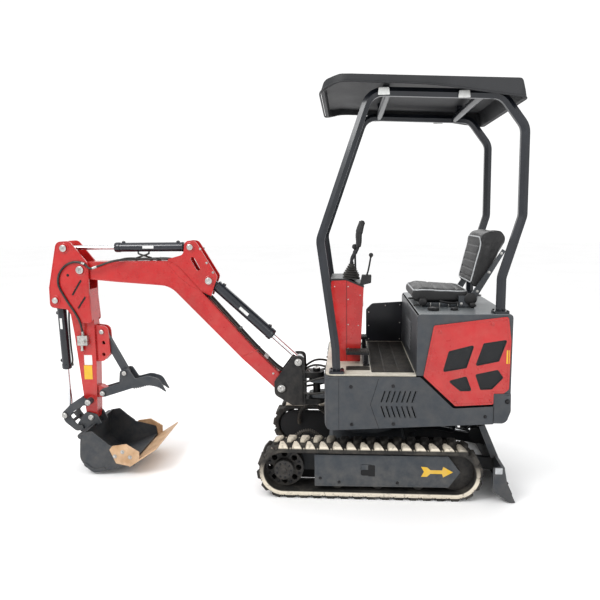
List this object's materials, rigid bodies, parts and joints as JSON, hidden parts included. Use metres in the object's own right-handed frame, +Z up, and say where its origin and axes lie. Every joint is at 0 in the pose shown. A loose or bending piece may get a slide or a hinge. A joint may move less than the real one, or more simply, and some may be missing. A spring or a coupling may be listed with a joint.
{
  "type": "mini excavator",
  "caption": "Small tracked excavator with an open canopy, a swinging boom, an arm with bucket and thumb, and a dozer blade at the other end.",
  "frame": {"origin": "middle of the bounding box, on the ground that the tracks stand on", "axes": "+Z up, the boom points along -Y, +X is the left side of the house"},
  "size_m": [0.984, 2.7184, 2.2217],
  "materials": {
    "red_paint": "gloss",
    "dark_paint": "satin",
    "post_paint": "satin",
    "deck_paint": "satin",
    "roof_plastic": "matte",
    "lever_plastic": "matte",
    "track_rubber": "matte",
    "hose_rubber": "satin",
    "steel": "satin",
    "chrome": "polished",
    "cast_iron": "matte",
    "wear_steel": "satin",
    "seat_vinyl": "satin"
  },
  "bodies": {
    "undercarriage": {"undercarriage": "dark_paint", "track_left": "track_rubber", "track_right": "track_rubber", "sprocket_left": "cast_iron", "sprocket_right": "cast_iron", "idler_left": "cast_iron", "idler_right": "cast_iron", "travel_hose_left": "hose_rubber", "travel_hose_right": "hose_rubber"},
    "blade": {"blade": "dark_paint"},
    "blade_barrel": {"blade_barrel": "dark_paint"},
    "blade_rod": {"blade_rod": "chrome"},
    "house": {"turntable": "dark_paint", "skirt_left": "dark_paint", "skirt_right": "dark_paint", "counterweight": "dark_paint", "engine_cover": "dark_paint", "side_panel_left": "red_paint", "side_panel_right": "red_paint", "engine": "cast_iron", "floor_plate": "deck_paint", "side_guard": "post_paint", "console": "red_paint", "lever_left": "lever_plastic", "lever_right": "lever_plastic", "pedals": "steel", "seat_base": "dark_paint", "seat_cushion": "seat_vinyl", "seat_back": "seat_vinyl", "canopy_frame": "post_paint", "canopy_roof": "roof_plastic"},
    "swing_bracket": {"swing_bracket": "cast_iron"},
    "boom": {"boom": "red_paint", "boom_hoses": "hose_rubber"},
    "boom_barrel": {"boom_barrel": "dark_paint"},
    "boom_rod": {"boom_rod": "chrome"},
    "arm_barrel": {"arm_barrel": "dark_paint", "arm_cylinder_hoses": "hose_rubber"},
    "arm_rod": {"arm_rod": "chrome"},
    "arm": {"arm": "red_paint", "thumb": "dark_paint", "thumb_strut": "dark_paint", "arm_hose_left": "hose_rubber", "arm_hose_right": "hose_rubber", "coupling_left": "steel", "coupling_right": "steel"},
    "bucket_barrel": {"bucket_barrel": "dark_paint", "bucket_cylinder_hose": "hose_rubber"},
    "bucket_rod": {"bucket_rod": "chrome"},
    "rocker": {"rocker": "dark_paint"},
    "bucket_link": {"bucket_link": "dark_paint"},
    "bucket": {"bucket": "dark_paint", "cutting_edges": "wear_steel"}
  },
  "joints": [
    {"name": "house_slew", "type": "hinge", "parent": "undercarriage", "child": "house", "pos_m": [0, 0.5626, 0.345], "axis": [0, 0, 1], "continuous": true},
    {"name": "boom_swing", "type": "hinge", "parent": "house", "child": "swing_bracket", "pos_m": [0, 0.2626, 0.5], "axis": [0, 0, 1], "range_deg": [-50, 50]},
    {"name": "boom_lift", "type": "hinge", "parent": "swing_bracket", "child": "boom", "pos_m": [0, 0.0536, 0.505], "axis": [-1, 0, 0], "range_deg": [-65, 45]},
    {"name": "arm_crowd", "type": "hinge", "parent": "boom", "child": "arm", "pos_m": [0, -1.1554, 1.226], "axis": [1, 0, 0], "range_deg": [-85, 25]},
    {"name": "bucket_curl", "type": "hinge", "parent": "arm", "child": "bucket", "pos_m": [0, -1.1494, 0.3], "axis": [1, 0, 0], "range_deg": [-90, 30]},
    {"name": "blade_lift", "type": "hinge", "parent": "undercarriage", "child": "blade", "pos_m": [0, 0.8626, 0.145], "axis": [1, 0, 0], "range_deg": [-18, 11]},
    {"name": "boom_barrel_turn", "type": "hinge", "parent": "boom", "child": "boom_barrel", "pos_m": [0, -0.3754, 1.155], "axis": [1, 0, 0], "range_deg": [-0.79, 0.7]},
    {"name": "boom_rod_slide", "type": "slide", "parent": "boom_barrel", "child": "boom_rod", "axis": [0, 0.7382, -0.6745], "range_m": [-0.1411, 0.2029]},
    {"name": "arm_barrel_turn", "type": "hinge", "parent": "boom", "child": "arm_barrel", "pos_m": [0, -0.4824, 1.357], "axis": [1, 0, 0], "range_deg": [-2.05, 0.96]},
    {"name": "arm_rod_slide", "type": "slide", "parent": "arm_barrel", "child": "arm_rod", "axis": [0, -1, 0], "range_m": [-0.224, 0.0673]},
    {"name": "rocker_turn", "type": "hinge", "parent": "arm", "child": "rocker", "pos_m": [0, -1.1504, 0.406], "axis": [1, 0, 0], "range_deg": [-42.1, 14.37]},
    {"name": "link_turn", "type": "hinge", "parent": "rocker", "child": "bucket_link", "pos_m": [0, -1.3034, 0.322], "axis": [1, 0, 0], "range_deg": [-15.22, 44.66]},
    {"name": "bucket_barrel_turn", "type": "hinge", "parent": "arm", "child": "bucket_barrel", "pos_m": [0, -1.3214, 1.041], "axis": [1, 0, 0], "range_deg": [-3.04, 1.35]},
    {"name": "bucket_rod_slide", "type": "slide", "parent": "bucket_barrel", "child": "bucket_rod", "axis": [0, 0.025, -0.9997], "range_m": [-0.1231, 0.0424]},
    {"name": "blade_barrel_turn", "type": "hinge", "parent": "undercarriage", "child": "blade_barrel", "pos_m": [0, 0.8146, 0.29], "axis": [1, 0, 0], "range_deg": [-14.9, 9.3]},
    {"name": "blade_rod_slide", "type": "slide", "parent": "blade_barrel", "child": "blade_rod", "axis": [0, 0.9859, -0.1673], "range_m": [-0.0269, 0.0427]}
  ],
  "couplings": [
    {"joint": "boom_barrel_turn", "follows": "boom_lift", "ratio": 0.004537},
    {"joint": "boom_rod_slide", "follows": "boom_lift", "m_per_rad": -0.17708},
    {"joint": "arm_barrel_turn", "follows": "arm_crowd", "ratio": 0.018247},
    {"joint": "arm_rod_slide", "follows": "arm_crowd", "m_per_rad": 0.14965},
    {"joint": "rocker_turn", "follows": "bucket_curl", "ratio": 0.46218},
    {"joint": "link_turn", "follows": "bucket_curl", "ratio": -0.49065},
    {"joint": "bucket_barrel_turn", "follows": "bucket_curl", "ratio": 0.028255},
    {"joint": "bucket_rod_slide", "follows": "bucket_curl", "m_per_rad": 0.077118},
    {"joint": "blade_barrel_turn", "follows": "blade_lift", "ratio": 0.80023},
    {"joint": "blade_rod_slide", "follows": "blade_lift", "m_per_rad": -0.12947}
  ]
}
